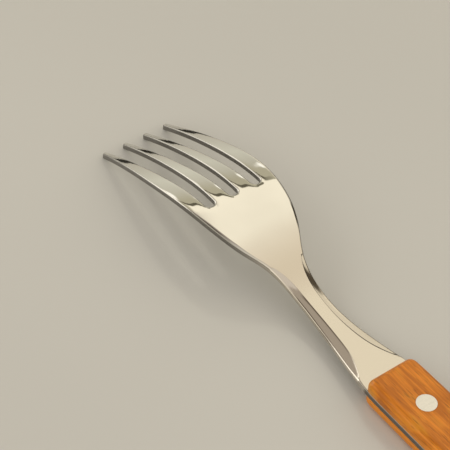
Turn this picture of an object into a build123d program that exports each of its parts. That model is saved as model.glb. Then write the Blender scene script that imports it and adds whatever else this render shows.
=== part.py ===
from build123d import *
import os
from math import cos, sin, radians, tan

# Four-tine table fork with a riveted full-tang wooden handle, lying back up.
# Frame: +X from the tine tips to the butt of the handle, +Y across, +Z up.
# Origin: on the rest plane, midway between the tine tips and the butt.
# A "station" is a distance along X from the tine tips.  All sizes are in millimetres.

# ---- steel blank: side profile of its convex back ----
sheet_thickness = 1.5      # one thickness from the tines to the butt
tip_slope = 28.6           # degrees, how steeply the tine tips meet the rest plane
tine_bend_station = 21.6   # middle of the tines
tine_bend_height = 11.3
crown_station = 41.3       # highest point of the back, at the tine roots
crown_height = 15.4
shoulder_station = 49.2    # where the back turns down
shoulder_height = 14.4
slope_station = 58.5       # middle of the falling neck
slope_height = 11.2
foot_station = 69.8        # where the neck sweeps out towards the handle
foot_height = 6.8
flat_station = 86.0        # the blank is flat from here to the butt

# ---- steel blank: plan outline ----
tip_width = 1.1            # each tine at its very end
root_slot_width = 2.55     # each slot at its rounded root
root_pitch = 7.0           # slot to slot at the roots
tip_pitch = 6.35           # slot to slot at the tips
tip_flare = 0.1            # slope of the outer edge where it leaves the tips
slot_length = 40.5         # tips to the end of the slots
head_width = 25.5
widest_station = 33.5
shoulder_width = 23.4      # head width at the station below
shoulder_width_station = 45.5
flank_width = 17.2
flank_station = 54.8
throat_width = 11.1
throat_station = 60.3
waist_width = 7.3          # narrowest part of the neck
waist_station = 70.0
spread_width = 9.8         # neck opening out to the tang
spread_station = 86.0
handle_width = 14.5        # where the neck's flare ends
handle_station = 103.5
butt_width = 16.5
butt_roundness = 6.0       # corner radius of the butt in plan
edge_round = 0.25          # polished edges of the blank
tip_round = 0.55           # corner radius of each tine tip in plan

# ---- neck bevels ----
bevel_angle = 10.0         # degrees down from the flat land in the middle
land_widths = (            # distance from the waist, width of the land between the bevels
    (-12.5, 15.6),
    (-9.0, 8.8),
    (-4.5, 4.7),
    (1.0, 3.4),
    (8.0, 3.4),
    (14.0, 4.2),
    (19.0, 6.0),
    (23.0, 8.8),
    (27.0, 14.2),
)

# ---- wooden scales ----
scale_gap = 12.8           # flat steel that shows ahead of the scales
scale_length = 91.2
scale_thickness = 3.2
scale_front_corner = 2.0   # corner radius in plan at the front
scale_crown_round = 2.0    # rounding of the outer face
scale_arris = 0.35         # small rounding beside the steel

# ---- two-piece rivets ----
rivet_count = 3
rivet_end_inset = 13.0     # first and last rivet from the ends of the scales
rivet_head_diameter = 5.0
rivet_head_depth = 1.2
rivet_tube_diameter = 3.2
rivet_post_diameter = 2.0
rivet_clearance = 0.05     # radial, tube and heads in their holes
post_clearance = 0.02      # radial, post in its tube
post_end_clearance = 0.3   # post short of the opposite head

# ---- worked out ----
most_of = 0.94             # a rounding takes at most this much of the wall it is cut from
slope = radians(tip_slope)
tang_bottom = scale_thickness
tang_top = tang_bottom + sheet_thickness
stack_height = tang_top + scale_thickness
middle_height = stack_height / 2
scale_front = flat_station + scale_gap
overall_length = scale_front + scale_length
tip_x = -overall_length / 2
tip_overrun = 1.0          # the side profile runs on past the tips and is trimmed in plan
butt_x = overall_length / 2
tip_corner = min(tip_round, most_of * tip_width / 2)
under_round = min(edge_round, most_of * tip_corner * tan((radians(90) - slope) / 2))
tip_top = sheet_thickness / cos(slope) - under_round * (tan(slope) + 1 / cos(slope) - 1)
tip_slot_width = tip_pitch - tip_width
tip_span = 3 * tip_pitch + tip_width
hole_radius = rivet_tube_diameter / 2 + rivet_clearance
head_radius = rivet_head_diameter / 2
head_seat_radius = head_radius + rivet_clearance
crown_round = min(scale_crown_round, most_of * (scale_thickness - scale_arris))
rivet_span = scale_length - 2 * rivet_end_inset
rivet_stations = [
    scale_front + rivet_end_inset + rivet_span * n / (rivet_count - 1) for n in range(rivet_count)
]


def at(station):
    """Position along X of a station measured from the tine tips."""
    return tip_x + station


# ---- side profile, drawn with X along the fork and Y as height, then stood up on XZ ----
with BuildLine() as back_line:
    back_curve = Spline(
        (at(-tip_overrun), tip_top - tip_overrun * tan(slope)),
        (at(tine_bend_station), tine_bend_height),
        (at(crown_station), crown_height),
        (at(shoulder_station), shoulder_height),
        (at(slope_station), slope_height),
        (at(foot_station), foot_height),
        (at(flat_station), tang_top),
        tangents=((cos(slope), sin(slope)), (1, 0)),
    )


under_spans = 12           # spans between the points that the underside runs through


def below_back(share):
    """Point of the underside, one sheet thickness square to the back."""
    point = back_curve @ share
    along = back_curve % share
    return (point.X + sheet_thickness * along.Y, point.Y - sheet_thickness * along.X)


with BuildSketch(Plane.XZ.offset(-head_width)) as side_profile:
    with BuildLine():
        add(back_line.line)
        Polyline(
            (at(flat_station), tang_top),
            (butt_x, tang_top),
            (butt_x, tang_bottom),
            (at(flat_station), tang_bottom),
        )
        under_points = [below_back(n / under_spans) for n in range(under_spans, -1, -1)]
        Spline(*under_points, tangents=((-1, 0), (-cos(slope), -sin(slope))))
        Line(under_points[-1], back_curve @ 0)
    make_face()

# ---- plan outline, shared by the blank and the scales ----
handle_start = Vector(at(handle_station), handle_width / 2)
handle_end = Vector(butt_x, butt_width / 2)

with BuildSketch() as outline:
    with BuildLine():
        Spline(
            (at(0), tip_span / 2),
            (at(widest_station), head_width / 2),
            (at(shoulder_width_station), shoulder_width / 2),
            (at(flank_station), flank_width / 2),
            (at(throat_station), throat_width / 2),
            (at(waist_station), waist_width / 2),
            (at(spread_station), spread_width / 2),
            handle_start,
            tangents=((1, tip_flare), handle_end - handle_start),
        )
        Polyline(handle_start, handle_end, (butt_x, 0), (at(0), 0), (at(0), tip_span / 2))
    make_face()
    mirror(about=Plane.XZ)
    fillet(outline.vertices().group_by(Axis.X)[-1], butt_roundness)

# ---- slots between the tines: a round root with straight sides that spread to the tips ----
slot_end_radius = root_slot_width / 2

with BuildSketch() as slots:
    for side in (-1, 0, 1):
        mouth_y = side * tip_pitch
        with BuildLine() as slot_edges:
            CenterArc((at(slot_length) - slot_end_radius, side * root_pitch), slot_end_radius, -90, 180)
            Line(
                (at(-tip_overrun), mouth_y - tip_slot_width / 2),
                (at(-tip_overrun), mouth_y + tip_slot_width / 2),
            )
        make_hull(slot_edges.edges())

# ---- neck bevels ----
bevel_reach = handle_width / 2     # how far each cutter runs out past the land
bevel_drop = bevel_reach * tan(radians(bevel_angle))
halvings = 40


def back_height(station):
    """Height of the blank's back at a station, found by halving its span."""
    low, high = 0.0, 1.0
    for _ in range(halvings):
        middle = (low + high) / 2
        if (back_curve @ middle).X < at(station):
            low = middle
        else:
            high = middle
    return (back_curve @ high).Y


with BuildPart() as bevel_cutter:
    for distance, land_width in land_widths:
        station = waist_station + distance
        height = back_height(station)
        with BuildSketch(Plane.YZ.offset(at(station))):
            with BuildLine():
                Polyline(
                    (land_width / 2, height),
                    (land_width / 2 + bevel_reach, height - bevel_drop),
                    (land_width / 2 + bevel_reach, height + bevel_drop),
                    close=True,
                )
            make_face()
    loft()
    mirror(about=Plane.XZ)

# ---- steel blank: profile, outline, polished edges, bevels, rivet holes ----
broad_normal = 0.7         # a broad face's normal has at least this much of Z in its middle

with BuildPart() as fork_blank:
    extrude(side_profile.sketch, amount=2 * head_width)
    with BuildSketch() as cut_outline:
        add(outline.sketch)
        add(slots.sketch, mode=Mode.SUBTRACT)
        fillet(cut_outline.vertices().group_by(Axis.X)[0], tip_corner)
    extrude(amount=stack_height + crown_height, both=True, mode=Mode.INTERSECT)
    flat_seams = fork_blank.edges().filter_by_position(
        Axis.X, at(flat_station) - edge_round, at(flat_station) + edge_round
    )
    back_faces = fork_blank.faces().filter_by(lambda face: face.normal_at().Z > broad_normal)
    fillet(back_faces.edges().filter_by(lambda edge: edge not in flat_seams), edge_round)
    under_faces = fork_blank.faces().filter_by(lambda face: face.normal_at().Z < -broad_normal)
    fillet(under_faces.edges().filter_by(lambda edge: edge not in flat_seams), under_round)
    add(bevel_cutter.part, mode=Mode.SUBTRACT)
    with BuildSketch():
        with Locations(*[(at(station), 0) for station in rivet_stations]):
            Circle(hole_radius)
    extrude(amount=stack_height, mode=Mode.SUBTRACT)
fork_blank.part.label = "fork_blank"

# ---- wooden scales, flush with the blank all round ----
with BuildPart() as lower_scale:
    with BuildSketch():
        add(outline.sketch)
        with Locations((at(scale_front), 0)):
            Rectangle(
                scale_length * 2,
                head_width * 2,
                align=(Align.MIN, Align.CENTER),
                mode=Mode.INTERSECT,
            )
    extrude(amount=scale_thickness)
    fillet(lower_scale.edges().filter_by(Axis.Z).group_by(Axis.X)[0], scale_front_corner)
    fillet(lower_scale.faces().sort_by(Axis.Z)[0].edges(), crown_round)
    fillet(lower_scale.faces().sort_by(Axis.Z)[-1].edges(), scale_arris)
    with BuildSketch():
        with Locations(*[(at(station), 0) for station in rivet_stations]):
            Circle(hole_radius)
    extrude(amount=scale_thickness, mode=Mode.SUBTRACT)
    with BuildSketch():
        with Locations(*[(at(station), 0) for station in rivet_stations]):
            Circle(head_seat_radius)
    extrude(amount=rivet_head_depth, mode=Mode.SUBTRACT)
lower_scale.part.label = "lower_scale"

with BuildPart() as upper_scale:
    add(lower_scale.part)
    mirror(about=Plane.XY.offset(middle_height), mode=Mode.REPLACE)
upper_scale.part.label = "upper_scale"

# ---- two-piece rivets: a tube with a head below, a post with a head above ----
tube_length = stack_height - rivet_head_depth


def make_rivet_tube(station):
    """Lower half of a rivet: a flush head and a tube that runs up to the upper head."""
    with BuildPart() as tube:
        with BuildSketch():
            with Locations((at(station), 0)):
                Circle(head_radius)
        extrude(amount=rivet_head_depth)
        with BuildSketch():
            with Locations((at(station), 0)):
                Circle(rivet_tube_diameter / 2)
        extrude(amount=tube_length)
        with BuildSketch(Plane.XY.offset(rivet_head_depth)):
            with Locations((at(station), 0)):
                Circle(rivet_post_diameter / 2 + post_clearance)
        extrude(amount=tube_length, mode=Mode.SUBTRACT)
    return tube.part


def make_rivet_post(station):
    """Upper half of a rivet: a flush head and a post driven down into the tube."""
    with BuildPart() as post:
        with BuildSketch(Plane.XY.offset(stack_height)):
            with Locations((at(station), 0)):
                Circle(head_radius)
        extrude(amount=-rivet_head_depth)
        with BuildSketch(Plane.XY.offset(stack_height)):
            with Locations((at(station), 0)):
                Circle(rivet_post_diameter / 2)
        extrude(amount=-(stack_height - rivet_head_depth - post_end_clearance))
    return post.part


# ---- written pieces ----
os.makedirs("parts", exist_ok=True)
export_step(fork_blank.part, "parts/fork_blank.step")
export_step(lower_scale.part, "parts/lower_scale.step")
export_step(upper_scale.part, "parts/upper_scale.step")
for number, station in enumerate(rivet_stations, start=1):
    tube = make_rivet_tube(station)
    tube.label = f"rivet_tube_{number}"
    export_step(tube, f"parts/{tube.label}.step")
    post = make_rivet_post(station)
    post.label = f"rivet_post_{number}"
    export_step(post, f"parts/{post.label}.step")
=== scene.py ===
"""Four-tine table fork with a riveted wooden handle, lying back up on a pale floor."""
from functools import reduce
from math import asin, ceil, cos, hypot, pi, radians, sin, tan
from operator import mul

import bpy
import numpy as np
from bpy.props import FloatProperty, FloatVectorProperty, PointerProperty
from mathutils import Matrix, Vector, kdtree
from mathutils.geometry import delaunay_2d_cdt


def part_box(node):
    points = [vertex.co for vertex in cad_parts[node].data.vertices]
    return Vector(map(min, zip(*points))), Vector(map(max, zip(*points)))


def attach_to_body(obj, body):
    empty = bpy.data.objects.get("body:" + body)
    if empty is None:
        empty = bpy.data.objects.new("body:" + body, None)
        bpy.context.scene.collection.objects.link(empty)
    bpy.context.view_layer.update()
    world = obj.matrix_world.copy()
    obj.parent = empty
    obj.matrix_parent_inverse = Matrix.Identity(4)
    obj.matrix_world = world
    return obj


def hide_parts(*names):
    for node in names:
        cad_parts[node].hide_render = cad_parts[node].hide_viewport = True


bl_info = {
    "name": "Riveted Table Fork",
    "version": (1, 0, 0),
    "blender": (4, 5, 0),
    "location": "3D View > Sidebar > Fork",
    "description": "Builds a steel table fork with riveted wooden scales",
    "category": "Add Mesh",
}

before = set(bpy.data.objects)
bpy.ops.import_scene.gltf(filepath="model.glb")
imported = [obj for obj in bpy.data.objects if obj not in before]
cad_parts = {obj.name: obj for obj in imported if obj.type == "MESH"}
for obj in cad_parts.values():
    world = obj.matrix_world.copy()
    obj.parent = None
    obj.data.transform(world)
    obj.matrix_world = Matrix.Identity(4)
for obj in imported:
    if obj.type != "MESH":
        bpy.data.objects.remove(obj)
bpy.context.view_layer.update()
MM = 0.001

# Stations run along the fork from the tine tips, in millimetres, and heights from the rest plane.
BLANK_LOW, BLANK_HIGH = (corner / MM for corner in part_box("fork_blank"))
SCALE_LOW, SCALE_HIGH = (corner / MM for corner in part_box("lower_scale"))
UPPER_LOW, UPPER_HIGH = (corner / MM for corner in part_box("upper_scale"))
TIP_X = BLANK_LOW.x
LENGTH = BLANK_HIGH.x - BLANK_LOW.x
SCALE_FRONT = SCALE_LOW.x - TIP_X
TANG_BOTTOM = SCALE_HIGH.z
TANG_TOP = UPPER_LOW.z

# Side profile of the back, as (station, height).
TIP_SLOPE = radians(28.6)
TIP_TOP = 1.54
BACK_POINTS = (
    (21.6, 11.3),    # middle of the tines
    (41.3, 15.4),    # crown at the tine roots
    (49.2, 14.4),    # shoulder
    (58.5, 11.2),    # falling neck
    (69.8, 6.8),     # sweep out towards the handle
)
FLAT_STATION = 86.0

# Plan outline, as (station, half width).
TIP_FLARE = 0.1
TIP_HALF_SPAN = 10.075
TIP_ROUND = 0.517
SIDE_START = 0.9     # station of the sides' first point behind the tips' round corners
SIDE_POINTS = (
    (33.5, 12.75),   # widest
    (45.5, 11.7),    # shoulder
    (54.8, 8.6),     # flank
    (60.3, 5.55),    # throat
    (69.5, 3.7),     # waist
    (86.0, 5.0),     # flare towards the tang
)
HANDLE_START = (103.5, 7.25)
BUTT_HALF_WIDTH = 8.25
BUTT_ROUND = 6.0

# Slots between the tines.
SLOT_END = 40.5
SLOT_ROOT_HALF = 1.275
SLOT_MOUTH_HALF = 2.625
SLOT_MOUTH_STATION = -1.0
ROOT_PITCH = 7.0
TIP_PITCH = 6.35

# Rounding of the tines' backs, and the stations over which it and the head's arch come and go.
TINE_HALF = 2.2          # half width of a tine that has the whole crown
TINE_LEAST_HALF = 0.3
TINE_OVERRUN = 1.15      # how far the rounding goes on past a tine's side, in half widths
TINE_FADE = (37.5, 42.5)
ARCH_RISE = (0.0, 30.0)
ARCH_FADE = (40.0, 58.0)

# Neck bevels, as (station, half width of the land between them), and the land's way at its ends.
LAND_EDGES = (
    (57.5, 7.8),
    (61.0, 4.4),
    (65.5, 2.35),
    (71.0, 1.7),
    (78.0, 1.65),
    (84.0, 2.1),
    (89.0, 2.95),
    (93.0, 4.4),
    (97.0, 6.7),
)
LAND_WAYS = ((1, -1.1), (1, 0.75))

# How far the bevels' steep inner side reaches, as (station, reach).
HOLLOW_REACH = (
    (57.5, 0.15),
    (62.0, 0.5),
    (66.0, 0.9),
    (68.0, 0.9),
    (73.0, 0.5),
    (91.0, 0.5),
    (96.0, 0.35),
)

# Scales and rivets.
SCALE_FRONT_ROUND = 2.0
SCALE_CROWN = 2.0
SCALE_ARRIS = 0.35
RIVET_STATIONS = tuple(
    sum(corner.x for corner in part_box(f"rivet_tube_{number}")) / 2 / MM - TIP_X
    for number in (1, 2, 3)
)
RIVET_HOLE = 1.65
RIVET_SEAT = 2.55
RIVET_SEAT_DEPTH = 1.2

# Rim of the blank's back: where it grows from the tips' rounding to that of the tines, and what
# the head's and the neck's has beyond that, as (station, extra radius).
TIP_BLEND = (0.0, 8.0)
RIM_EXTRA = (
    (36.0, 0.0),
    (45.0, 0.5),
    (53.0, 0.5),
    (57.5, 0.1),
    (62.0, 0.35),
    (94.0, 0.35),
    (98.0, 0.0),
)

# Stations where the head's mirror finish turns satin and takes a painted warm reflection, and where
# the neck ends: its rims stay pale because most of the painted edge shade is lifted there.
SATIN_BLEND = (50.0, 64.0)
NECK_END = (SCALE_FRONT + 0.6, SCALE_FRONT - 0.4)

# Fineness of the meshes.
CURVE_STEPS = 60
EDGE_STEP = 0.4
ARC_STEP = 0.16
LEAST_SIDE = 1e-6    # shorter sides of an outline are dropped
MERGE_GAP = 1e-7
FINE_GRID = 0.5
COARSE_GRID = 2.5
FINE_OVERLAP = 1.0   # how far the blank's fine grid runs on under the scales
LEAST_GAP = 0.55     # between a grid's points and the lines, in grid steps
HOLE_SIDES = 40
HOLE_TURNS = np.arange(HOLE_SIDES) * 2 * pi / HOLE_SIDES
CREASE_STEP = 0.3
CREASE_ROWS = (-0.05, 0.05, 0.2, 0.4, 0.7)
BLANK_RIM_STEPS = 6
SCALE_RIM_STEPS = 10
PROBE = 0.02

# Stage: the floor's half length and the lamps' distance, in metres.
FLOOR_REACH = 1.5
LAMP_DISTANCE = 0.95


# ---- lines and profiles ----


def smoothstep(low, high, value):
    """Runs smoothly from 0 at low to 1 at high."""
    share = np.clip((value - low) / (high - low), 0.0, 1.0)
    return share * share * (3 - 2 * share)


def read(line, station, beyond=None):
    """What a line says at a station, with another value beyond its end if one is given."""
    stations, values = np.transpose(line)
    return np.interp(station, stations, values, right=beyond)


def curve_through(points, start, end):
    """Even cubic through the points with the given end directions, as a dense row of points."""
    points = np.array(points, float)
    start, end = (np.array(way, float) / np.linalg.norm(way) for way in (start, end))
    gaps = np.linalg.norm(np.diff(points, axis=0), axis=1)
    count = len(points)
    rows, right = np.zeros((count, count)), np.zeros((count, 2))
    rows[0, 0] = rows[-1, -1] = 1
    right[0], right[-1] = start, end
    for n in range(1, count - 1):
        before, after = gaps[n - 1], gaps[n]
        rows[n, n - 1], rows[n, n], rows[n, n + 1] = after, 2 * (before + after), before
        right[n] = 3 * (
            after * (points[n] - points[n - 1]) / before
            + before * (points[n + 1] - points[n]) / after
        )
    ways = np.linalg.solve(rows, right)
    share = np.linspace(0, 1, CURVE_STEPS, endpoint=False)[:, None]
    spans = []
    for n in range(count - 1):
        spans.append(
            (1 + 2 * share) * (1 - share) ** 2 * points[n]
            + share * (1 - share) ** 2 * gaps[n] * ways[n]
            + share ** 2 * (3 - 2 * share) * points[n + 1]
            + share ** 2 * (share - 1) * gaps[n] * ways[n + 1]
        )
    return np.vstack(spans + [points[-1:]])


BACK_LINE = curve_through(
    ((-1.0, TIP_TOP - tan(TIP_SLOPE)), *BACK_POINTS, (FLAT_STATION, TANG_TOP)),
    (cos(TIP_SLOPE), sin(TIP_SLOPE)),
    (1, 0),
)
HANDLE_WAY = (LENGTH - HANDLE_START[0], BUTT_HALF_WIDTH - HANDLE_START[1])
SIDE_LINE = curve_through(
    ((0.0, TIP_HALF_SPAN), *SIDE_POINTS, HANDLE_START), (1, TIP_FLARE), HANDLE_WAY
)
LAND_LINE = curve_through(LAND_EDGES, *LAND_WAYS)


def under_line(thickness):
    """The back's side profile, one thickness lower and square to it."""
    way = np.gradient(BACK_LINE, axis=0)
    way /= np.linalg.norm(way, axis=1)[:, None]
    return BACK_LINE + thickness * np.stack([way[:, 1], -way[:, 0]], 1)


def slot_edges(station):
    """Pitch of the slots' centre lines, and a slot's half width, at a station."""
    share = (station - SLOT_MOUTH_STATION) / (SLOT_END - SLOT_ROOT_HALF - SLOT_MOUTH_STATION)
    pitch = TIP_PITCH + (ROOT_PITCH - TIP_PITCH) * share
    half = SLOT_MOUTH_HALF + (SLOT_ROOT_HALF - SLOT_MOUTH_HALF) * share
    return pitch, half


def tine_drop(station, across, crown):
    """How far a tine's rounded back falls below the middle of the tine."""
    pitch, half = slot_edges(station)
    side = np.abs(across)
    inner_tine = side < pitch
    low = np.where(inner_tine, half, pitch + half)
    high = np.where(inner_tine, pitch - half, read(SIDE_LINE, station))
    middle, reach = (low + high) / 2, np.maximum((high - low) / 2, TINE_LEAST_HALF)
    offset = np.clip((side - middle) / reach, -TINE_OVERRUN, TINE_OVERRUN)
    fade = 1 - smoothstep(*TINE_FADE, station)
    return crown * reach / TINE_HALF * offset ** 4 * fade


def head_drop(station, across, arch):
    """How far the head and tines fall away at their sides, being slightly arched across."""
    fade = smoothstep(*ARCH_RISE, station) * (1 - smoothstep(*ARCH_FADE, station))
    return arch * (across / SIDE_POINTS[0][1]) ** 2 * fade


def bevel_drop(station, across, sizes):
    """How far the neck's hollow bevels lie below its land: steep at its edge, then gentle."""
    bevelled = (station > LAND_EDGES[0][0]) & (station < LAND_EDGES[-1][0])
    beyond = np.where(bevelled, np.maximum(np.abs(across) - read(LAND_LINE, station), 0), 0)
    reach = read(HOLLOW_REACH, station)
    steep, gentle = tan(sizes.hollow_angle), tan(sizes.bevel_angle)
    return gentle * beyond + (steep - gentle) * reach * (1 - np.exp(-beyond / reach))


def blank_top(points, sizes):
    """Height of the blank's back, with its neck bevels and the rounding of its tines."""
    station, across = points[:, 0], points[:, 1]
    return (
        read(BACK_LINE, station)
        - bevel_drop(station, across, sizes)
        - tine_drop(station, across, sizes.tine_crown / MM)
        - head_drop(station, across, sizes.head_arch / MM)
    )


def blank_bottom(points, sizes):
    """Height of the blank's underside."""
    station, across = points[:, 0], points[:, 1]
    height = read(under_line(sizes.sheet_thickness / MM), station, TANG_BOTTOM)
    return height - head_drop(station, across, sizes.head_arch / MM)


# ---- outlines ----


def arc(centre, radius, start, end):
    """Points of an arc, its ends included."""
    steps = max(4, ceil(abs(end - start) * radius / ARC_STEP))
    turns = np.linspace(start, end, steps + 1)
    return [(centre[0] + radius * cos(turn), centre[1] + radius * sin(turn)) for turn in turns]


def rounded_corner(before, corner, after, radius):
    """Arc that rounds a corner between two straight sides."""
    before, corner, after = (np.array(point, float) for point in (before, corner, after))
    back = (before - corner) / np.linalg.norm(before - corner)
    ahead = (after - corner) / np.linalg.norm(after - corner)
    half = np.arccos(np.clip(back @ ahead, -1, 1)) / 2
    middle = corner + (back + ahead) / np.linalg.norm(back + ahead) * radius / sin(half)
    start, end = (corner + way * radius / tan(half) - middle for way in (back, ahead))
    first, last = np.arctan2(start[1], start[0]), np.arctan2(end[1], end[0])
    turn = (last - first + pi) % (2 * pi) - pi
    return arc(middle, radius, first, first + turn)


def fill_in(points):
    """Closed loop with its long straight sides divided."""
    points = [np.array(point, float) for point in points]
    loop = []
    for here, there in zip(points, points[1:] + points[:1]):
        gap = np.linalg.norm(there - here)
        if gap < LEAST_SIDE:
            continue
        steps = max(1, round(gap / EDGE_STEP))
        loop += [here + (there - here) * n / steps for n in range(steps)]
    return np.array(loop)


def side_stretch(first, last):
    """Stretch of the outline's side between two stations, at an even step."""
    stations = np.linspace(first, last, ceil((last - first) / EDGE_STEP) + 1)
    return [(station, read(SIDE_LINE, station)) for station in stations]


def butt_half():
    """The handle's side from where its line turns straight to the middle of the butt."""
    return rounded_corner(HANDLE_START, (LENGTH, BUTT_HALF_WIDTH), (LENGTH, 0), BUTT_ROUND)


def blank_loop():
    """The blank's outline with its slots, anticlockwise from above."""
    upper_side = [HANDLE_START] + side_stretch(SIDE_START, HANDLE_START[0])[-2::-1]
    points = butt_half()[::-1] + upper_side
    side_half = read(SIDE_LINE, SIDE_START)
    corners = [(SIDE_START, side_half), (0, TIP_HALF_SPAN)]
    root_x = SLOT_END - SLOT_ROOT_HALF
    reach, taper = root_x - SLOT_MOUTH_STATION, SLOT_MOUTH_HALF - SLOT_ROOT_HALF
    edge_angle = asin(taper / hypot(reach, taper))
    pitch, half = slot_edges(0.0)
    for side in (1, 0, -1):
        lean = (ROOT_PITCH - TIP_PITCH) * side / reach
        root = (root_x, side * ROOT_PITCH)
        bend = arc(root, SLOT_ROOT_HALF, pi / 2 - edge_angle + lean, -pi / 2 + edge_angle + lean)
        upper, lower = (0, side * pitch + half), (0, side * pitch - half)
        points += rounded_corner(corners[-2], corners[-1], upper, TIP_ROUND)
        points += rounded_corner(corners[-1], upper, bend[0], TIP_ROUND)
        points += bend
        corners = [bend[-1], lower]
    last = (0, -TIP_HALF_SPAN)
    points += rounded_corner(corners[-2], corners[-1], last, TIP_ROUND)
    points += rounded_corner(corners[-1], last, (SIDE_START, -side_half), TIP_ROUND)
    points += [(x, -y) for x, y in upper_side[::-1]] + [(x, -y) for x, y in butt_half()]
    return fill_in(points)


def scale_loop():
    """Outline of a scale, anticlockwise from above."""
    behind = SCALE_FRONT + SCALE_FRONT_ROUND + 1
    front = rounded_corner(
        (behind, read(SIDE_LINE, behind)),
        (SCALE_FRONT, read(SIDE_LINE, SCALE_FRONT)),
        (SCALE_FRONT, 0),
        SCALE_FRONT_ROUND,
    )
    side = side_stretch(front[0][0] + EDGE_STEP, HANDLE_START[0])
    upper = butt_half()[::-1] + [HANDLE_START] + side[-2::-1] + front
    return fill_in(upper + [(x, -y) for x, y in upper[::-1]])


def circle(station, radius):
    """Ring of points round a hole on the middle line."""
    return np.stack([station + radius * np.cos(HOLE_TURNS), radius * np.sin(HOLE_TURNS)], 1)


# ---- meshes ----


def outward(loop):
    """Unit directions out of an anticlockwise loop."""
    way = np.roll(loop, -1, 0) - np.roll(loop, 1, 0)
    out = np.stack([way[:, 1], -way[:, 0]], 1)
    return out / np.linalg.norm(out, axis=1)[:, None]


def surface_normals(height, points, sign):
    """Normals of a height field, pointing up for a sign of 1 and down for -1."""
    slopes = [
        (height(points + step) - height(points - step)) / (2 * PROBE)
        for step in (np.array([PROBE, 0]), np.array([0, PROBE]))
    ]
    normals = np.stack([-slopes[0], -slopes[1], np.ones(len(points))], 1) * sign
    return normals / np.linalg.norm(normals, axis=1)[:, None]


def rim(loop, height, radius, sign, steps):
    """Rings of points and normals that round the edge between the wall and a face."""
    out = outward(loop)
    inner = loop - radius[:, None] * out
    face = surface_normals(height, inner, sign)
    centre = np.column_stack([inner, height(inner) - sign * radius / np.abs(face[:, 2])])
    wall = np.column_stack([out, np.zeros(len(out))])
    angle = np.arccos(np.clip((wall * face).sum(1), -1, 1))
    rings = []
    for step in range(steps + 1):
        share = step / steps
        normal = (
            np.sin((1 - share) * angle)[:, None] * wall + np.sin(share * angle)[:, None] * face
        ) / np.sin(angle)[:, None]
        rings.append((centre + radius[:, None] * normal, normal))
    return rings


def inside(points, loop):
    """Which points lie inside a closed loop."""
    result = np.zeros(len(points), bool)
    for here, there in zip(loop, np.roll(loop, -1, 0)):
        crossed = (here[1] > points[:, 1]) != (there[1] > points[:, 1])
        if crossed.any():
            slope = (there[0] - here[0]) / (there[1] - here[1])
            result ^= crossed & (points[:, 0] < here[0] + (points[:, 1] - here[1]) * slope)
    return result


def spread(loop, rows, holes, fine_until):
    """Inner points of a face: a fine grid up to a station and a coarse one beyond it."""
    low, high = loop.min(0), loop.max(0)
    grids = []
    for first, last, step in (
        (low[0], min(fine_until, high[0]), FINE_GRID),
        (fine_until, high[0], COARSE_GRID),
    ):
        if last - first > step:
            xs = np.arange(first + step / 2, last, step)
            ys = np.arange(low[1] + step / 2, high[1], step)
            grid = [(x, y + (step / 2 if n % 2 else 0)) for n, x in enumerate(xs) for y in ys]
            grids.append((np.array(grid), step))
    taken = np.vstack([loop, *rows, *holes])
    tree = kdtree.KDTree(len(taken))
    for n, point in enumerate(taken):
        tree.insert((*point, 0), n)
    tree.balance()
    kept = []
    for grid, step in grids:
        grid = grid[inside(grid, loop)]
        kept += [point for point in grid if tree.find((*point, 0))[2] > LEAST_GAP * step]
    return np.array(kept).reshape(-1, 2)


def triangulate(loop, rows, holes, fine_until):
    """Points and triangles that fill a loop, with the loop's and the holes' points first."""
    rings = [loop, *holes]
    fixed = np.vstack(rings)
    edges, start = [], 0
    for ring in rings:
        count = len(ring)
        edges += [(start + n, start + (n + 1) % count) for n in range(count)]
        start += count
    points = [fixed]
    for row in rows:
        edges += [(start + n, start + n + 1) for n in range(len(row) - 1)]
        start += len(row)
        points.append(row)
    points.append(spread(loop, rows, holes, fine_until))
    points = np.vstack(points)
    found = delaunay_2d_cdt([Vector(point) for point in points], edges, [], 1, MERGE_GAP)
    places, triangles, origins = np.array([tuple(place) for place in found[0]]), found[2], found[3]
    # The loop's and the holes' points keep their numbers, and the others follow them.
    renumbered = {
        n: origin[0] for n, origin in enumerate(origins) if origin and origin[0] < len(fixed)
    }
    order = [n for n in range(len(places)) if n not in renumbered]
    renumbered.update((n, len(fixed) + following) for following, n in enumerate(order))
    if len(set(renumbered.values())) != len(places):
        raise RuntimeError("an edge of the outline was lost in its triangulation")
    centres = [(hole.mean(0), np.linalg.norm(hole[0] - hole.mean(0))) for hole in holes]
    kept = []
    for triangle in triangles:
        middle = places[list(triangle)].mean(0)
        if not any(np.linalg.norm(middle - centre) < reach for centre, reach in centres):
            kept.append([renumbered[n] for n in triangle])
    return np.vstack([fixed, places[order]]), kept


class Shell:
    """Collects the points, normals and faces of one closed mesh."""

    def __init__(self):
        self.points, self.normals, self.cut, self.faces = [], [], [], []
        self.count = 0

    def put(self, points, normals, cut=0.0):
        """Adds points, marked by how much stamped-edge finish and painted edge shade they carry,
        and returns the first one's number.
        """
        first = self.count
        self.points.append(points)
        self.normals.append(normals)
        self.cut.append(np.full(len(points), cut))
        self.count += len(points)
        return first

    def band(self, lower, upper, count, turned=False):
        """Joins two rings of equal count with four-sided faces."""
        for n in range(count):
            after = (n + 1) % count
            face = [lower + n, lower + after, upper + after, upper + n]
            self.faces.append(face[::-1] if turned else face)

    def make(self, name):
        """The object, in metres, with its own normals."""
        points = np.vstack(self.points)
        points[:, 0] += TIP_X
        mesh = bpy.data.meshes.new(name)
        mesh.from_pydata((points * MM).tolist(), [], self.faces)
        mesh.shade_smooth()
        mesh.normals_split_custom_set_from_vertices(np.vstack(self.normals).tolist())
        # Mask of the stamped edges, where the steel gets its duller finish and its painted edge
        # shade.
        cut = mesh.attributes.new("cut", "FLOAT", "POINT")
        cut.data.foreach_set("value", np.concatenate(self.cut))
        mesh.validate()
        made = bpy.data.objects.new(name, mesh)
        bpy.context.scene.collection.objects.link(made)
        return made


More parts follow.
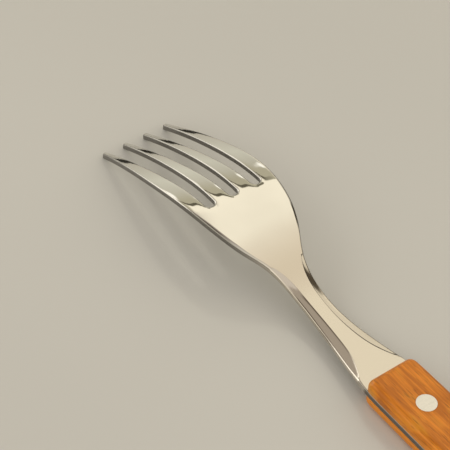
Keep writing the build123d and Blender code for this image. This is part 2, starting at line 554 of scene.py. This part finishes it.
def face_side(shell, loop, rings_first, height, holes, rows, fine_until, sign):
    """Fills one face inside its rim, and returns where each hole's ring of points starts."""
    places, triangles = triangulate(loop, rows, holes, fine_until)
    count = len(loop)
    inner = places[count:]
    normals = surface_normals(height, inner, sign)
    first = shell.put(np.column_stack([inner, height(inner)]), normals)
    for triangle in triangles:
        face = [rings_first + n if n < count else first + n - count for n in triangle]
        shell.faces.append(face if sign > 0 else face[::-1])
    starts, start = [], first
    for hole in holes:
        starts.append(start)
        start += len(hole)
    return starts


def slab(loop, top, bottom, fine_until, steps):
    """Closed body between two faces, each given by its height, rim radius, holes and rows.

    The rims are marked as stamped edge with painted edge shade, less so towards the faces.
    """
    shell = Shell()
    count = len(loop)
    firsts, ends = {}, {}
    for sign, (height, radius, holes, rows) in ((1, top), (-1, bottom)):
        rings = rim(loop, height, radius, sign, steps)
        # The stamped-edge mark, with its painted edge shade, fades from the wall to the face.
        numbers = [
            shell.put(points, normals, 1 - (step / steps) ** 2)
            for step, (points, normals) in enumerate(rings)
        ]
        for outer, inner in zip(numbers, numbers[1:]):
            shell.band(outer, inner, count, turned=sign < 0)
        firsts[sign] = numbers[0]
        circles = [circle(*hole) for hole in holes]
        ends[sign] = face_side(
            shell, rings[-1][0][:, :2], numbers[-1], height, circles, rows, fine_until, sign
        )
    shell.band(firsts[-1], firsts[1], count)
    return shell, ends


def bore(shell, lower, upper, station, steps):
    """Walls of a hole from one face to the other by way of (radius, height) steps."""
    inward = np.stack([-np.cos(HOLE_TURNS), -np.sin(HOLE_TURNS), np.zeros(HOLE_SIDES)], 1)
    numbers = [lower]
    for radius, height in steps:
        ring = np.column_stack([circle(station, radius), np.full(HOLE_SIDES, height)])
        # Hole walls are marked in full as stamped edge with painted edge shade.
        numbers.append(shell.put(ring, inward, 1.0))
    numbers.append(upper)
    for below, above in zip(numbers, numbers[1:]):
        shell.band(below, above, HOLE_SIDES, turned=True)


# ---- shader sums ----


def opaque(colour):
    """A colour with its fourth value."""
    return (*colour, 1.0)


class Wire:
    """A node's output that can stand in a sum, which then becomes Math nodes."""

    def __init__(self, nodes, socket):
        self.nodes = nodes
        self.socket = socket

    def math(self, operation, first, second):
        """One Math node."""
        return self.nodes.add("ShaderNodeMath", {"operation": operation}, {0: first, 1: second})

    def __add__(self, other):
        return self.math("ADD", self, other)

    __radd__ = __add__

    def __sub__(self, other):
        return self.math("SUBTRACT", self, other)

    def __rsub__(self, other):
        return self.math("SUBTRACT", other, self)

    def __mul__(self, other):
        return self.math("MULTIPLY", self, other)

    __rmul__ = __mul__


class Nodes:
    """The node tree of one material or of the world."""

    def __init__(self, tree):
        self.tree = tree
        tree.nodes.clear()

    def add(self, kind, settings=None, inputs=None, output=0):
        """Adds a node: its settings first, then the numbers or wires of its inputs."""
        node = self.tree.nodes.new(kind)
        for name, value in (settings or {}).items():
            if name == "stops":
                ramp = node.color_ramp
                while len(ramp.elements) < len(value):
                    ramp.elements.new(1.0)
                for element, (place, colour) in zip(ramp.elements, value):
                    element.position, element.color = place, opaque(colour)
            else:
                setattr(node, name, value)
        for key, value in (inputs or {}).items():
            socket = node.inputs[key]
            if isinstance(value, Wire):
                self.tree.links.new(value.socket, socket)
            else:
                socket.default_value = value
        return Wire(self, node.outputs[output])

    def noise(self, repeats, detail, roughness=0.5, distortion=0.0):
        """Soft noise between 0 and 1, so many times a metre along each of the object's axes."""
        position = self.add("ShaderNodeTexCoord", output="Object")
        vector = self.add(
            "ShaderNodeVectorMath", {"operation": "MULTIPLY"}, {0: position, 1: repeats}
        )
        return self.add(
            "ShaderNodeTexNoise",
            {"noise_dimensions": "3D"},
            {
                "Vector": vector,
                "Scale": 1.0,
                "Detail": detail,
                "Roughness": roughness,
                "Distortion": distortion,
            },
            "Fac",
        )

    def between(self, value, low, high):
        """Runs smoothly from 0 at low to 1 at high."""
        return self.add(
            "ShaderNodeMapRange",
            {"interpolation_type": "SMOOTHSTEP"},
            {"Value": value, "From Min": low, "From Max": high, "To Min": 0.0, "To Max": 1.0},
        )

    def mix(self, factor, first, second):
        """Mixes two colours, at the Mix node's colour sockets."""
        first, second = (
            tone if isinstance(tone, Wire) else opaque(tone) for tone in (first, second)
        )
        sockets = {0: factor, 6: first, 7: second}
        return self.add("ShaderNodeMix", {"data_type": "RGBA", "blend_type": "MIX"}, sockets, 2)

    def dot(self, vector, axis):
        """How far a vector reaches along an axis."""
        sockets = {0: vector, 1: axis}
        return self.add("ShaderNodeVectorMath", {"operation": "DOT_PRODUCT"}, sockets, "Value")

    def bump(self, height, strength, distance):
        """Fine relief, with its depth in metres."""
        sockets = {"Height": height, "Strength": strength, "Distance": distance}
        return self.add("ShaderNodeBump", inputs=sockets)

    def output(self, kind, shader):
        """Makes a shader the surface of the material or the world."""
        node = self.tree.nodes.new(kind)
        self.tree.links.new(shader.socket, node.inputs["Surface"])

    def surface(self, inputs):
        """Makes a Principled shader with these inputs the material's surface."""
        shader = self.add("ShaderNodeBsdfPrincipled", inputs=inputs)
        self.output("ShaderNodeOutputMaterial", shader)


# ---- materials ----


def new_material(name):
    """An empty node material and its nodes."""
    material = bpy.data.materials.new(name)
    material.use_nodes = True
    return material, Nodes(material.node_tree)


def steel_material(looks):
    """Stainless steel: mirror head; neck and tang with a rougher polish and a tan tint, a painted
    warm reflection; stamped edges duller and darkened with painted shade and dark reflection; fine
    lines along it.
    """
    material, nodes = new_material("Polished steel")
    lines = nodes.noise((40, 900, 900), 4.0, 0.6)
    clouds = nodes.noise((60, 60, 60), 2.0)
    hairs = nodes.noise((90, 3200, 3200), 1.0)
    grit = nodes.noise((5200, 5200, 5200), 2.0)
    along = nodes.dot(nodes.add("ShaderNodeTexCoord", output="Object"), (1 / MM, 0, 0)) - TIP_X
    satin_painted_reflection = nodes.between(along, *SATIN_BLEND)
    neck = satin_painted_reflection * nodes.between(along, *NECK_END)
    # Stamped edges: rougher and duller, and darkened with painted shade and dark reflection; on the
    # neck most of this is lifted, so the rims stay pale.
    cut = nodes.add("ShaderNodeAttribute", {"attribute_name": "cut"}, output="Fac")
    cut = cut * (1 - neck * 0.85)
    colour = nodes.mix(nodes.between(clouds, 0.3, 0.7), looks.steel, looks.steel_shade)
    # Neck and tang: tinted tan as a painted warm reflection.
    colour = nodes.mix(satin_painted_reflection, colour, looks.satin_painted_reflection)
    # Painted shade and dark reflection on the stamped edges.
    colour = nodes.mix(cut * 0.9, colour, looks.cut_edge_painted_shade)
    roughness = looks.steel_roughness + (lines - 0.5) * 0.02 + (clouds - 0.5) * 0.02
    roughness = roughness + satin_painted_reflection * (0.05 + grit * 0.06) + cut * 0.22
    relief = lines * 0.6 + hairs * 0.4 + satin_painted_reflection * grit * 0.8 + cut * grit * 5.0
    nodes.surface({
        "Base Color": colour,
        "Metallic": 1.0,
        "Roughness": roughness,
        "Normal": nodes.bump(relief, 0.12, 0.00001),
    })
    return material


def rivet_material(looks):
    """Rivet steel, ground flush with lines across the handle."""
    material, nodes = new_material("Ground rivet steel")
    lines = nodes.noise((2600, 120, 2600), 2.0)
    clouds = nodes.noise((300, 300, 300), 2.0)
    nodes.surface({
        "Base Color": nodes.mix(clouds, looks.steel, looks.steel_shade),
        "Metallic": 1.0,
        "Roughness": 0.24 + (lines - 0.5) * 0.1,
        "Normal": nodes.bump(lines, 0.25, 0.00002),
    })
    return material


def wood_material(looks):
    """Oiled orange-brown wood with its grain along the handle."""
    material, nodes = new_material("Oiled wood")
    waver = nodes.noise((90, 260, 260), 2.0, 0.5, 0.6)
    bands = nodes.noise((16, 330, 330), 3.0, 0.55, 0.8)
    fibres = nodes.noise((120, 2400, 2400), 3.0, 0.6)
    pores = nodes.between(nodes.noise((260, 3600, 3600), 1.0), 0.62, 0.74)
    grain = nodes.between(bands * 0.45 + fibres * 0.2 + waver * 0.35, 0.41, 0.59)
    patches = nodes.between(waver, 0.52, 0.70)
    colour = nodes.mix(grain, looks.wood_dark, looks.wood_light)
    colour = nodes.mix(patches * 0.6, colour, looks.wood_patch)
    colour = nodes.mix(pores * 0.5, colour, looks.wood_pore)
    nodes.surface({
        "Base Color": colour,
        "Roughness": 0.30 + fibres * 0.16 + pores * 0.15,
        "IOR": 1.38,
        "Coat Weight": 0.22,
        "Coat Roughness": 0.14,
        "Normal": nodes.bump(fibres * 0.6 - pores * 0.8, 0.35, 0.00006),
    })
    return material


def floor_material(looks):
    """Plain pale floor with a faint sheen."""
    material, nodes = new_material("Pale floor")
    nodes.surface({"Base Color": opaque(looks.floor), "Roughness": 0.18, "Specular IOR Level": 0.5})
    return material


# ---- what a user may change ----


class ForkSizes(bpy.types.PropertyGroup):
    """Sizes of the fork's finer forms."""

    sheet_thickness: FloatProperty(
        name="Sheet thickness",
        description="Thickness of the steel",
        default=0.0015,
        unit="LENGTH",
    )
    rim_round: FloatProperty(
        name="Rim rounding",
        description="Rounding of the blank's back edges",
        default=0.00042,
        unit="LENGTH",
    )
    tip_rim_round: FloatProperty(
        name="Tip rim rounding",
        description="Rounding of the edges at the tine tips",
        default=0.0003,
        unit="LENGTH",
    )
    under_round: FloatProperty(
        name="Under rounding",
        description="Rounding of the blank's lower edges",
        default=0.00027,
        unit="LENGTH",
    )
    tine_crown: FloatProperty(
        name="Tine crown",
        description="How far a tine's back falls at its sides",
        default=0.0001,
        unit="LENGTH",
    )
    head_arch: FloatProperty(
        name="Head arch",
        description="How far the head falls at its sides",
        default=0.00025,
        unit="LENGTH",
    )
    bevel_angle: FloatProperty(
        name="Neck bevel",
        description="Slope of the bevels' outer side",
        default=radians(5),
        subtype="ANGLE",
    )
    hollow_angle: FloatProperty(
        name="Bevel hollow",
        description="Slope of the bevels at the land's edge",
        default=radians(29),
        subtype="ANGLE",
    )


class ForkLooks(bpy.types.PropertyGroup):
    """Colours and finishes of the fork and its stage."""

    steel: FloatVectorProperty(
        name="Steel",
        description="Colour of the polished steel",
        default=(0.80, 0.78, 0.74),
        subtype="COLOR",
        size=3,
    )
    steel_shade: FloatVectorProperty(
        name="Steel shade",
        description="Colour of the steel's duller patches",
        default=(0.74, 0.72, 0.68),
        subtype="COLOR",
        size=3,
    )
    # Tan tint on the neck and tang: a painted warm reflection over their satin polish.
    satin_painted_reflection: FloatVectorProperty(
        name="Satin steel",
        description="Colour of the satin neck and tang",
        default=(0.66, 0.61, 0.54),
        subtype="COLOR",
        size=3,
    )
    # Stamped edges' colour: painted shade and dark reflection over their duller finish.
    cut_edge_painted_shade: FloatVectorProperty(
        name="Cut edge",
        description="Colour of the steel's stamped edges",
        default=(0.16, 0.152, 0.14),
        subtype="COLOR",
        size=3,
    )
    steel_roughness: FloatProperty(
        name="Steel roughness",
        description="Roughness of the polished steel",
        default=0.04,
        subtype="FACTOR",
        min=0.0,
        max=1.0,
    )
    wood_light: FloatVectorProperty(
        name="Light wood",
        description="Colour of the paler grain",
        default=(0.92, 0.31, 0.02),
        subtype="COLOR",
        size=3,
    )
    wood_dark: FloatVectorProperty(
        name="Dark wood",
        description="Colour of the darker grain",
        default=(0.54, 0.155, 0.006),
        subtype="COLOR",
        size=3,
    )
    wood_patch: FloatVectorProperty(
        name="Wood patch",
        description="Colour of the cloudy figure in the wood",
        default=(0.62, 0.26, 0.02),
        subtype="COLOR",
        size=3,
    )
    wood_pore: FloatVectorProperty(
        name="Wood pores",
        description="Colour in the pores",
        default=(0.16, 0.05, 0.01),
        subtype="COLOR",
        size=3,
    )
    floor: FloatVectorProperty(
        name="Floor",
        description="Colour of the floor",
        default=(0.64, 0.64, 0.63),
        subtype="COLOR",
        size=3,
    )


# ---- stage ----


def towards(azimuth, elevation):
    """Way to a spot in degrees; azimuth 0 is past the tine tips and 90 is to the +Y side."""
    turn, tilt = radians(azimuth), radians(elevation)
    return Vector((-cos(tilt) * cos(turn), cos(tilt) * sin(turn), sin(tilt)))


def light_world(scene):
    """Warm windows past the tips and to both sides, a dim horizon and a dark ceiling."""
    world = bpy.data.worlds.new("Studio")
    scene.world = world
    world.use_nodes = True
    nodes = Nodes(world.node_tree)
    way = nodes.add("ShaderNodeTexCoord", output="Generated")
    along, side, height = (nodes.dot(way, axis) for axis in ((1, 0, 0), (0, 1, 0), (0, 0, 1)))
    sill = nodes.dot(way, (0.35, -0.60, 0.72))
    post = nodes.dot(way, (0.339, 0.941, 0))

    def lay(under, patch, *edges, strength=1.0):
        """Lays a colour inside edges, each a measure, where it starts and where it is full."""
        mask = reduce(mul, (nodes.between(*edge) for edge in edges))
        return nodes.mix(mask * strength, under, patch)

    def glow(azimuth, elevation, inner, outer):
        """Edge of a round soft patch, from its inner to its outer angle in degrees."""
        spot = nodes.dot(way, towards(azimuth, elevation))
        return spot, cos(radians(outer)), cos(radians(inner))

    daylight, bright, dark = (1.15, 1.08, 0.94), (1.3, 1.26, 1.13), (0.035, 0.032, 0.025)
    window = lay((1.14, 1.055, 0.853), (1.0, 0.90, 0.72), (along, -0.10, 0.20))
    ceiling = lay((0.52, 0.46, 0.385), (0.12, 0.09, 0.065), (side, 0.0, -0.32), (along, 0.12, 0.0))
    wall = (
        (0.05, (0.56, 0.52, 0.43)),
        (0.26, (0.73, 0.71, 0.59)),
        (0.42, (0.64, 0.61, 0.50)),
        (0.56, (0.52, 0.48, 0.35)),
    )
    colour = nodes.add("ShaderNodeValToRGB", {"stops": wall}, {"Fac": height}, "Color")
    # Window past the post, and a dim and a lit wall on the left.
    colour = lay(colour, daylight, (post, -0.10, -0.16))
    colour = lay(colour, (0.34, 0.30, 0.25), (side, -0.30, -0.45), (height, 0.60, 0.50))
    colour = lay(
        colour, (1.05, 0.98, 0.82),
        (along, -0.50, -0.46), (side, -0.40, -0.50), (height, 0.06, 0.12), (height, 0.74, 0.68),
    )
    # Dim low wall, with a wide window above it.
    colour = lay(colour, (0.30, 0.28, 0.23), (side, 0.28, 0.14), (height, 0.38, 0.30), strength=0.6)
    colour = lay(
        colour, daylight,
        (height, 0.36, 0.46), (height, 0.62, 0.54), (side, -0.50, -0.30), (side, 0.36, 0.28),
    )
    # Two small bright spots.
    colour = lay(colour, bright, glow(40.5, 28, 1.0, 4.0))
    colour = lay(colour, bright, glow(19.5, 29, 1.5, 5.5))
    # Wall and window on the right, with a dark gap.
    colour = lay(colour, (1.0, 0.92, 0.74), (side, 0.58, 0.64))
    colour = lay(colour, window, (sill, -0.004, 0.008), (side, 0.32, 0.38))
    colour = lay(
        colour, (0.10, 0.08, 0.055),
        (along, -0.16, -0.08), (along, 0.17, 0.11), (side, 0.58, 0.64), (height, 0.82, 0.74),
    )
    # Bar along the sill, and the window post.
    colour = lay(
        colour, (0.06, 0.05, 0.03),
        (sill, -0.048, -0.034), (sill, 0.002, -0.010), (side, 0.28, 0.34), (side, 0.56, 0.50),
        strength=0.85,
    )
    colour = lay(
        colour, (0.08, 0.07, 0.05), (post, -0.12, -0.10), (post, -0.05, -0.07), strength=0.8
    )
    # Ceiling and dark horizon.
    colour = lay(colour, ceiling, (height, 0.70, 0.78), (side, 0.43, 0.37))
    colour = lay(colour, dark, (height, 0.065, 0.045))
    colour = lay(colour, dark, (height, 0.30, 0.20), (side, 0.68, 0.78))

    background = nodes.add("ShaderNodeBackground", inputs={"Color": colour, "Strength": 1.0})
    nodes.output("ShaderNodeOutputWorld", background)


def add_lamp(scene, name, azimuth, elevation, size, energy, colour):
    """Round soft lamp that faces the fork."""
    lamp = bpy.data.lights.new(name, "AREA")
    lamp.shape, lamp.size, lamp.energy, lamp.color = "DISK", size, energy, colour
    item = bpy.data.objects.new(name, lamp)
    scene.collection.objects.link(item)
    item.location = LAMP_DISTANCE * towards(azimuth, elevation)
    item.rotation_euler = item.location.to_track_quat("Z", "Y").to_euler()


def set_camera(scene):
    """Camera above the handle's right side, looking down the fork towards its tines."""
    azimuth, elevation, roll = radians(48.1), radians(46.0), radians(5.6)
    aim, distance = Vector((-0.0477, -0.0084, 0.0152)), 0.4856
    back = Vector((sin(azimuth) * cos(elevation), -cos(azimuth) * cos(elevation), sin(elevation)))
    level = Vector((0, 0, 1)).cross(back).normalized()
    upright = back.cross(level)
    right = cos(roll) * level + sin(roll) * upright
    up = back.cross(right)
    data = bpy.data.cameras.new("camera")
    data.lens, data.sensor_width = 163.2, 36.0
    data.clip_start, data.clip_end = 0.05, 10.0
    camera = bpy.data.objects.new("camera", data)
    scene.collection.objects.link(camera)
    turn = Matrix((right, up, back)).transposed().to_4x4()
    camera.matrix_world = Matrix.Translation(aim + back * distance) @ turn
    scene.camera = camera


# ---- operators ----


def attach(piece, slot, *nodes):
    """Makes a piece stand for its CAD nodes and ride with the fork."""
    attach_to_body(piece, "root")
    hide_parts(*nodes)


class FORK_OT_blank(bpy.types.Operator):
    """Makes the steel blank: tines, head, neck and tang in one sheet"""

    bl_idname = "fork.blank"
    bl_label = "Steel Blank"

    def execute(self, context):
        sizes, looks = context.scene.fork_sizes, context.scene.fork_looks
        loop = blank_loop()
        tip, full = sizes.tip_rim_round / MM, sizes.rim_round / MM
        radius = tip + (full - tip) * smoothstep(*TIP_BLEND, loop[:, 0])
        radius = radius + read(RIM_EXTRA, loop[:, 0])
        under_radius = np.full(len(loop), sizes.under_round / MM)
        stations = np.arange(
            LAND_EDGES[0][0] + CREASE_STEP, LAND_EDGES[-1][0] - CREASE_STEP, CREASE_STEP
        )
        land = read(LAND_LINE, stations)
        room = read(SIDE_LINE, stations) - full - CREASE_STEP / 2 - read(RIM_EXTRA, stations)
        rows = [
            np.stack([stations, side * (land + offset)], 1)[land + offset < room]
            for side in (-1, 1)
            for offset in CREASE_ROWS
        ]
        holes = [(station, RIVET_HOLE) for station in RIVET_STATIONS]
        shell, ends = slab(
            loop,
            (lambda points: blank_top(points, sizes), radius, holes, rows),
            (lambda points: blank_bottom(points, sizes), under_radius, holes, []),
            SCALE_FRONT + FINE_OVERLAP,
            BLANK_RIM_STEPS,
        )
        for number, station in enumerate(RIVET_STATIONS):
            bore(shell, ends[-1][number], ends[1][number], station, ())
        piece = shell.make("steel_fork")
        piece.data.materials.append(steel_material(looks))
        attach(piece, "steel", "fork_blank")
        return {"FINISHED"}


class FORK_OT_scales(bpy.types.Operator):
    """Makes the two wooden scales of the handle"""

    bl_idname = "fork.scales"
    bl_label = "Wooden Scales"

    def execute(self, context):
        looks = context.scene.fork_looks
        wood = wood_material(looks)
        loop = scale_loop()
        crown, arris = np.full(len(loop), SCALE_CROWN), np.full(len(loop), SCALE_ARRIS)
        seats = [(station, RIVET_SEAT) for station in RIVET_STATIONS]
        holes = [(station, RIVET_HOLE) for station in RIVET_STATIONS]
        scales = (
            ("wood_lower", "lower_scale", SCALE_LOW.z, SCALE_HIGH.z, False),
            ("wood_upper", "upper_scale", UPPER_LOW.z, UPPER_HIGH.z, True),
        )
        for name, node, low, high, up in scales:
            outer, inner = (crown, seats, []), (arris, holes, [])
            shell, ends = slab(
                loop,
                (lambda points: np.full(len(points), high), *(outer if up else inner)),
                (lambda points: np.full(len(points), low), *(inner if up else outer)),
                SCALE_FRONT,
                SCALE_RIM_STEPS,
            )
            ledge = high - RIVET_SEAT_DEPTH if up else low + RIVET_SEAT_DEPTH
            steps = [(RIVET_HOLE, ledge), (RIVET_SEAT, ledge)]
            if not up:
                steps.reverse()
            for number, station in enumerate(RIVET_STATIONS):
                bore(shell, ends[-1][number], ends[1][number], station, steps)
            piece = shell.make(name)
            piece.data.materials.append(wood)
            attach(piece, "wood", node)
        return {"FINISHED"}


class FORK_OT_rivets(bpy.types.Operator):
    """Finishes the six rivet halves"""

    bl_idname = "fork.rivets"
    bl_label = "Rivets"

    def execute(self, context):
        steel = rivet_material(context.scene.fork_looks)
        for name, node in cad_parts.items():
            if name.startswith("rivet"):
                node.data.materials.clear()
                node.data.materials.append(steel)
        return {"FINISHED"}


class FORK_OT_stage(bpy.types.Operator):
    """Sets the floor, the light and the camera"""

    bl_idname = "fork.stage"
    bl_label = "Stage"

    def execute(self, context):
        looks = context.scene.fork_looks
        corners = ((-1, -1, 0), (1, -1, 0), (1, 1, 0), (-1, 1, 0))
        mesh = bpy.data.meshes.new("floor")
        mesh.from_pydata([FLOOR_REACH * Vector(corner) for corner in corners], [], [(0, 1, 2, 3)])
        floor = bpy.data.objects.new("floor", mesh)
        context.scene.collection.objects.link(floor)
        mesh.materials.append(floor_material(looks))
        light_world(context.scene)
        add_lamp(
            context.scene, "key lamp",
            azimuth=-25, elevation=20, size=0.8, energy=1.9, colour=(1.0, 0.97, 0.90),
        )
        add_lamp(
            context.scene, "fill lamp",
            azimuth=-165, elevation=42, size=1.4, energy=1.6, colour=(1.0, 0.98, 0.95),
        )
        set_camera(context.scene)
        context.scene.view_settings.view_transform = "Standard"
        return {"FINISHED"}


class FORK_PT_sidebar(bpy.types.Panel):
    """Buttons and settings of the fork"""

    bl_label = "Riveted Table Fork"
    bl_space_type = "VIEW_3D"
    bl_region_type = "UI"
    bl_category = "Fork"

    def draw(self, context):
        for step in STEPS:
            self.layout.operator(step.bl_idname)
        for group in (context.scene.fork_sizes, context.scene.fork_looks):
            box = self.layout.box()
            for name in group.__annotations__:
                box.prop(group, name)


STEPS = (FORK_OT_blank, FORK_OT_scales, FORK_OT_rivets, FORK_OT_stage)
CLASSES = (ForkSizes, ForkLooks, *STEPS, FORK_PT_sidebar)


def register():
    """Adds the classes and the scene's settings."""
    for item in CLASSES:
        bpy.utils.register_class(item)
    bpy.types.Scene.fork_sizes = PointerProperty(type=ForkSizes)
    bpy.types.Scene.fork_looks = PointerProperty(type=ForkLooks)


def unregister():
    """Takes them out again."""
    del bpy.types.Scene.fork_looks
    del bpy.types.Scene.fork_sizes
    for item in reversed(CLASSES):
        bpy.utils.unregister_class(item)


def main():
    """Makes the fork and its stage."""
    register()
    for step in STEPS:
        family, name = step.bl_idname.split(".")
        getattr(getattr(bpy.ops, family), name)()
    bpy.context.view_layer.update()


if __name__ == "__main__":
    main()
